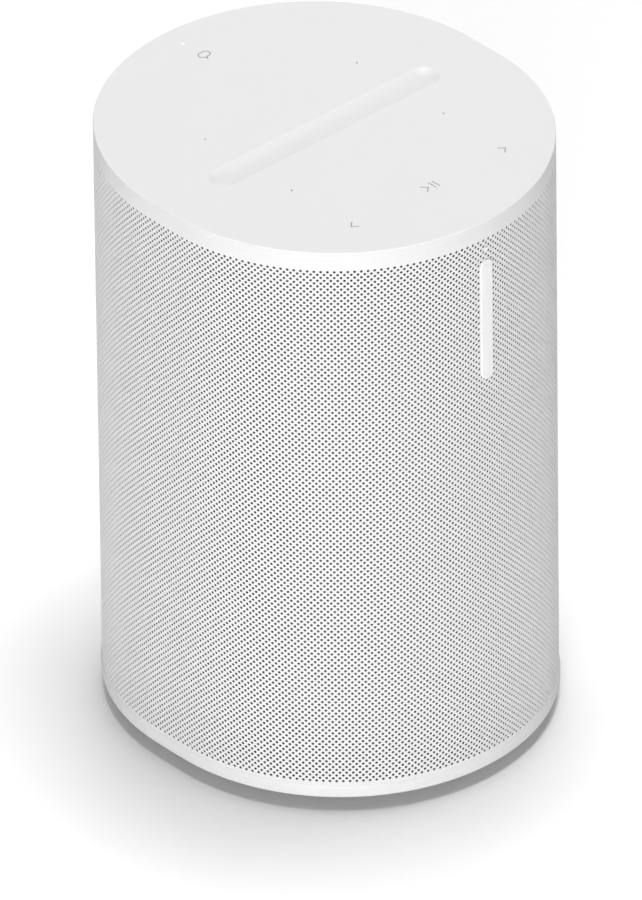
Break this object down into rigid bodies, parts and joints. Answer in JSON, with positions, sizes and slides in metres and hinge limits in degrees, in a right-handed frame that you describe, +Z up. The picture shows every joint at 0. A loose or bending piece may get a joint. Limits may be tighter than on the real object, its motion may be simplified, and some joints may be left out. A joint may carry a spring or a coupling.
{
  "type": "smart speaker",
  "caption": "Upright oval smart speaker with a perforated wrap grille, touch top with a volume groove, front woofer, angled tweeters and a rear control panel.",
  "frame": {"origin": "middle of the body, on the surface the foot stands on", "axes": "+Z up, -Y towards the front with the badge, +X to the right of someone facing the front"},
  "size_m": [0.12, 0.1306, 0.1825],
  "materials": {
    "shell_white": "fine satin moulded plastic, off-white",
    "cover_white": "very fine matt moulded plastic, off-white",
    "control_white": "satin moulded plastic, off-white",
    "badge_white": "raised white print",
    "light_lens": "translucent white light pipe",
    "cloth_black": "open black acoustic cloth",
    "inner_plastic": "dark moulded plastic",
    "rubber": "soft black rubber",
    "foot_rubber": "dark grey rubber",
    "cone_paper": "black coated paper",
    "coil_copper": "copper winding",
    "spider_cloth": "woven resin cloth",
    "steel": "zinc-plated steel",
    "ferrite": "bare dark ferrite",
    "dome_silk": "coated silk",
    "circuit_board": "green solder mask",
    "chip_black": "black moulded package",
    "socket_black": "black moulded plastic",
    "aluminium": "extruded aluminium",
    "flat_cable": "laminated flat cable",
    "winding_tape": "yellow winding tape",
    "capacitor_sleeve": "shrink sleeve",
    "brass": "plated brass"
  },
  "bodies": {
    "housing": {"acoustic_cloth": "cloth_black", "amplifier_chip": "chip_black", "base_plate": "cover_white", "base_screw_1": "steel", "base_screw_2": "steel", "base_screw_3": "steel", "base_screw_4": "steel", "bulk_capacitor": "capacitor_sleeve", "button_contact": "chip_black", "chamber_lid": "inner_plastic", "chamber_tub": "inner_plastic", "control_board": "circuit_board", "control_panel": "shell_white", "foot_ring": "foot_rubber", "front_badge": "badge_white", "grille_shell": "shell_white", "heat_sink": "aluminium", "inlet_pin_left": "brass", "inlet_pin_right": "brass", "main_board": "circuit_board", "microphone_front_left": "steel", "microphone_front_right": "steel", "microphone_rear_left": "steel", "microphone_rear_right": "steel", "power_inlet": "socket_black", "power_supply_board": "circuit_board", "processor_shield": "steel", "status_light_pipe": "light_lens", "top_cover": "cover_white", "top_light_window": "light_lens", "touch_board": "circuit_board", "touch_flat_cable": "flat_cable", "transformer": "winding_tape", "tweeter_housing": "inner_plastic", "tweeter_left_magnet": "steel", "tweeter_left_waveguide": "inner_plastic", "tweeter_right_magnet": "steel", "tweeter_right_waveguide": "inner_plastic", "usb_socket": "steel", "wifi_antenna_left": "circuit_board", "wifi_antenna_right": "circuit_board", "woofer_basket": "inner_plastic", "woofer_gasket": "rubber", "woofer_lead": "rubber", "woofer_magnet": "ferrite", "woofer_pole_piece": "steel", "woofer_screw_1": "steel", "woofer_screw_2": "steel", "woofer_screw_3": "steel", "woofer_screw_4": "steel", "woofer_spider": "spider_cloth", "woofer_surround": "rubber", "woofer_top_plate": "steel"},
    "button": {"wireless_button": "control_white"},
    "mic_slider": {"microphone_switch": "control_white"},
    "woofer_piston": {"woofer_cone": "cone_paper", "woofer_dust_cap": "cone_paper", "woofer_voice_coil": "coil_copper"},
    "tweeter_left_piston": {"tweeter_left_dome": "dome_silk"},
    "tweeter_right_piston": {"tweeter_right_dome": "dome_silk"}
  },
  "joints": [
    {"name": "wireless_button_press", "type": "slide", "parent": "housing", "child": "button", "axis": [0, -1, 0], "range_m": [0, 0.0008], "stiffness_N_per_m": 1200},
    {"name": "microphone_switch_slide", "type": "slide", "parent": "housing", "child": "mic_slider", "axis": [0, 0, 1], "range_m": [0, 0.003]},
    {"name": "woofer_stroke", "type": "slide", "parent": "housing", "child": "woofer_piston", "axis": [0, -1, 0], "range_m": [-0.003, 0.003], "stiffness_N_per_m": 1500},
    {"name": "tweeter_left_stroke", "type": "slide", "parent": "housing", "child": "tweeter_left_piston", "axis": [-0.7071, -0.7071, 0], "range_m": [-0.0003, 0.0003], "stiffness_N_per_m": 800},
    {"name": "tweeter_right_stroke", "type": "slide", "parent": "housing", "child": "tweeter_right_piston", "axis": [0.7071, -0.7071, 0], "range_m": [-0.0003, 0.0003], "stiffness_N_per_m": 800}
  ]
}
